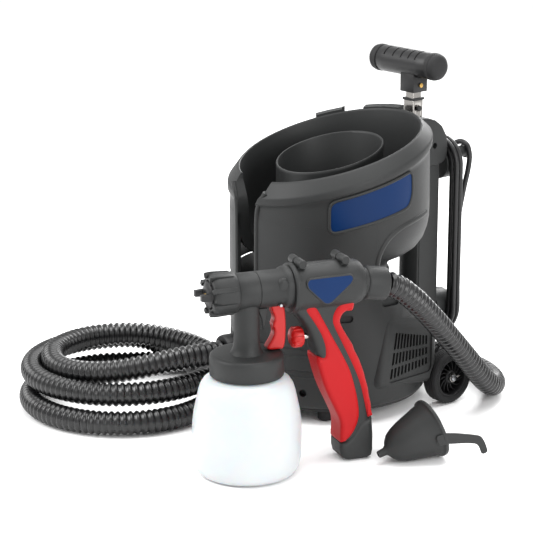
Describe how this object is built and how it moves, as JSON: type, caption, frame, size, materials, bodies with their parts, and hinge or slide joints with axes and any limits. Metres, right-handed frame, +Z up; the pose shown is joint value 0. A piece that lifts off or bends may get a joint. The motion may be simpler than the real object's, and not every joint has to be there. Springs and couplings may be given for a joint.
{
  "type": "hvlp spray gun",
  "caption": "Turbine paint sprayer: spray gun with screw-on paint cup, corrugated air hose and a wheeled turbine caddy with hose drum and telescopic pull handle.",
  "frame": {"origin": "middle of the footprint on the floor, measured without the hose and the mains lead", "axes": "+Z up, +Y towards the caddy's pull handle column, +X towards the side of the caddy that the gun stands beside"},
  "size_m": [0.5161, 0.5441, 0.3825],
  "materials": {
    "charcoal_shell": "fine-grained moulded plastic",
    "black_plastic": "satin moulded plastic",
    "red_overmould": "soft satin overmould",
    "red_plastic": "semi-gloss moulded plastic",
    "blue_label": "smooth printed film",
    "hose_black": "glossy corrugated plastic",
    "lead_black": "satin flexible sheath",
    "milky_cup": "translucent moulded plastic",
    "chrome_tube": "bright plated",
    "bare_steel": "turned steel",
    "brass_part": "turned brass",
    "soft_rubber": "dull soft rubber",
    "tyre_rubber": "ribbed solid rubber"
  },
  "bodies": {
    "caddy": {"tub_shell": "charcoal_shell", "inner_well": "charcoal_shell", "label_panel": "blue_label", "base_housing": "charcoal_shell", "base_plate": "black_plastic", "vent_grille": "charcoal_shell", "turbine_motor": "bare_steel", "air_outlet": "charcoal_shell", "hose_cuff_caddy": "black_plastic", "foot_left": "soft_rubber", "foot_right": "soft_rubber", "axle": "bare_steel", "cotter_clip_left": "chrome_tube", "cotter_clip_right": "chrome_tube", "column_housing": "charcoal_shell", "cord_peg_upper": "charcoal_shell", "cord_peg_lower": "charcoal_shell", "air_hose": "hose_black", "hose_coil": "hose_black", "air_hose_end": "hose_black", "mains_gland": "soft_rubber", "mains_lead": "lead_black", "mains_coil": "lead_black", "mains_lead_tail": "lead_black", "mains_plug": "black_plastic", "gun_shell_left": "charcoal_shell", "gun_shell_right": "charcoal_shell", "grip_front": "red_overmould", "grip_rear": "red_overmould", "handle_end_cap": "charcoal_shell", "badge": "blue_label", "hose_cuff_gun": "charcoal_shell"},
    "wheel_left": {"wheel_left": "black_plastic", "tyre_left": "tyre_rubber"},
    "wheel_right": {"wheel_right": "black_plastic", "tyre_right": "tyre_rubber"},
    "turbine_fan": {"turbine_fan": "black_plastic"},
    "power_switch": {"power_switch": "red_plastic"},
    "handle_outer": {"handle_tube_outer": "chrome_tube", "tube_collar": "black_plastic"},
    "detent_button": {"detent_button": "black_plastic"},
    "handle_inner": {"handle_tube_inner": "chrome_tube", "handle_socket": "black_plastic", "handle_screw": "brass_part", "handle_grip": "black_plastic", "grip_cap_left": "soft_rubber", "grip_cap_right": "soft_rubber"},
    "spray_head": {"spray_head": "charcoal_shell", "fluid_nozzle": "brass_part", "trigger_pin": "bare_steel", "cup_gasket": "soft_rubber", "siphon_tube": "milky_cup"},
    "paint_cup": {"paint_cup": "milky_cup"},
    "union_nut": {"union_nut": "charcoal_shell"},
    "air_cap": {"air_cap": "black_plastic"},
    "needle": {"needle": "bare_steel"},
    "trigger": {"trigger": "red_plastic"},
    "flow_knob": {"flow_knob": "red_plastic", "knob_screw": "chrome_tube"},
    "viscosity_cup": {"viscosity_cup": "charcoal_shell"}
  },
  "joints": [
    {"name": "wheel_left_spin", "type": "hinge", "parent": "caddy", "child": "wheel_left", "pos_m": [-0.1797, 0.1167, 0.03], "axis": [1, 0, 0], "continuous": true},
    {"name": "wheel_right_spin", "type": "hinge", "parent": "caddy", "child": "wheel_right", "pos_m": [0.0359, 0.1167, 0.03], "axis": [1, 0, 0], "continuous": true},
    {"name": "turbine_fan_spin", "type": "hinge", "parent": "caddy", "child": "turbine_fan", "pos_m": [-0.0719, 0.0327, 0.108], "axis": [0, 0, 1], "continuous": true},
    {"name": "power_switch_rock", "type": "hinge", "parent": "caddy", "child": "power_switch", "pos_m": [-0.1849, 0.0567, 0.074], "axis": [0, 0, 1], "range_deg": [-12, 0]},
    {"name": "handle_outer_slide", "type": "slide", "parent": "caddy", "child": "handle_outer", "axis": [0, 0, 1], "range_m": [0, 0.18]},
    {"name": "handle_inner_slide", "type": "slide", "parent": "handle_outer", "child": "handle_inner", "axis": [0, 0, 1], "range_m": [0, 0.2]},
    {"name": "detent_button_press", "type": "slide", "parent": "handle_outer", "child": "detent_button", "axis": [-1, 0, 0], "range_m": [0, 0.0019], "stiffness_N_per_m": 400, "springref_m": -0.001},
    {"name": "spray_head_slide", "type": "slide", "parent": "caddy", "child": "spray_head", "axis": [-0.3173, -0.9483, 0], "range_m": [0, 0.06]},
    {"name": "paint_cup_turn", "type": "hinge", "parent": "spray_head", "child": "paint_cup", "pos_m": [0.0562, -0.1924, 0.05], "axis": [0, 0, 1], "range_deg": [0, 450]},
    {"name": "union_nut_turn", "type": "hinge", "parent": "spray_head", "child": "union_nut", "pos_m": [0.0467, -0.2208, 0.192], "axis": [0.3173, 0.9483, 0], "range_deg": [0, 720]},
    {"name": "air_cap_turn", "type": "hinge", "parent": "spray_head", "child": "air_cap", "pos_m": [0.0435, -0.2303, 0.192], "axis": [0.3173, 0.9483, 0], "range_deg": [0, 90]},
    {"name": "trigger_pull", "type": "hinge", "parent": "spray_head", "child": "trigger", "pos_m": [0.06604, -0.163, 0.1775], "axis": [0.9483, -0.3173, 0], "range_deg": [0, 9], "stiffness_Nm_per_rad": 0.6, "springref_deg": -11.46},
    {"name": "needle_slide", "type": "slide", "parent": "spray_head", "child": "needle", "axis": [0.3173, 0.9483, 0], "range_m": [0, 0.0035]},
    {"name": "flow_knob_turn", "type": "hinge", "parent": "caddy", "child": "flow_knob", "pos_m": [0.07333, -0.14119, 0.1373], "axis": [0.3173, 0.9483, 0], "range_deg": [0, 720]},
    {"name": "viscosity_cup_lift", "type": "slide", "parent": "caddy", "child": "viscosity_cup", "axis": [0, 0, 1], "range_m": [0, 0.1]}
  ],
  "couplings": [
    {"joint": "needle_slide", "follows": "trigger_pull", "m_per_rad": 0.02}
  ]
}
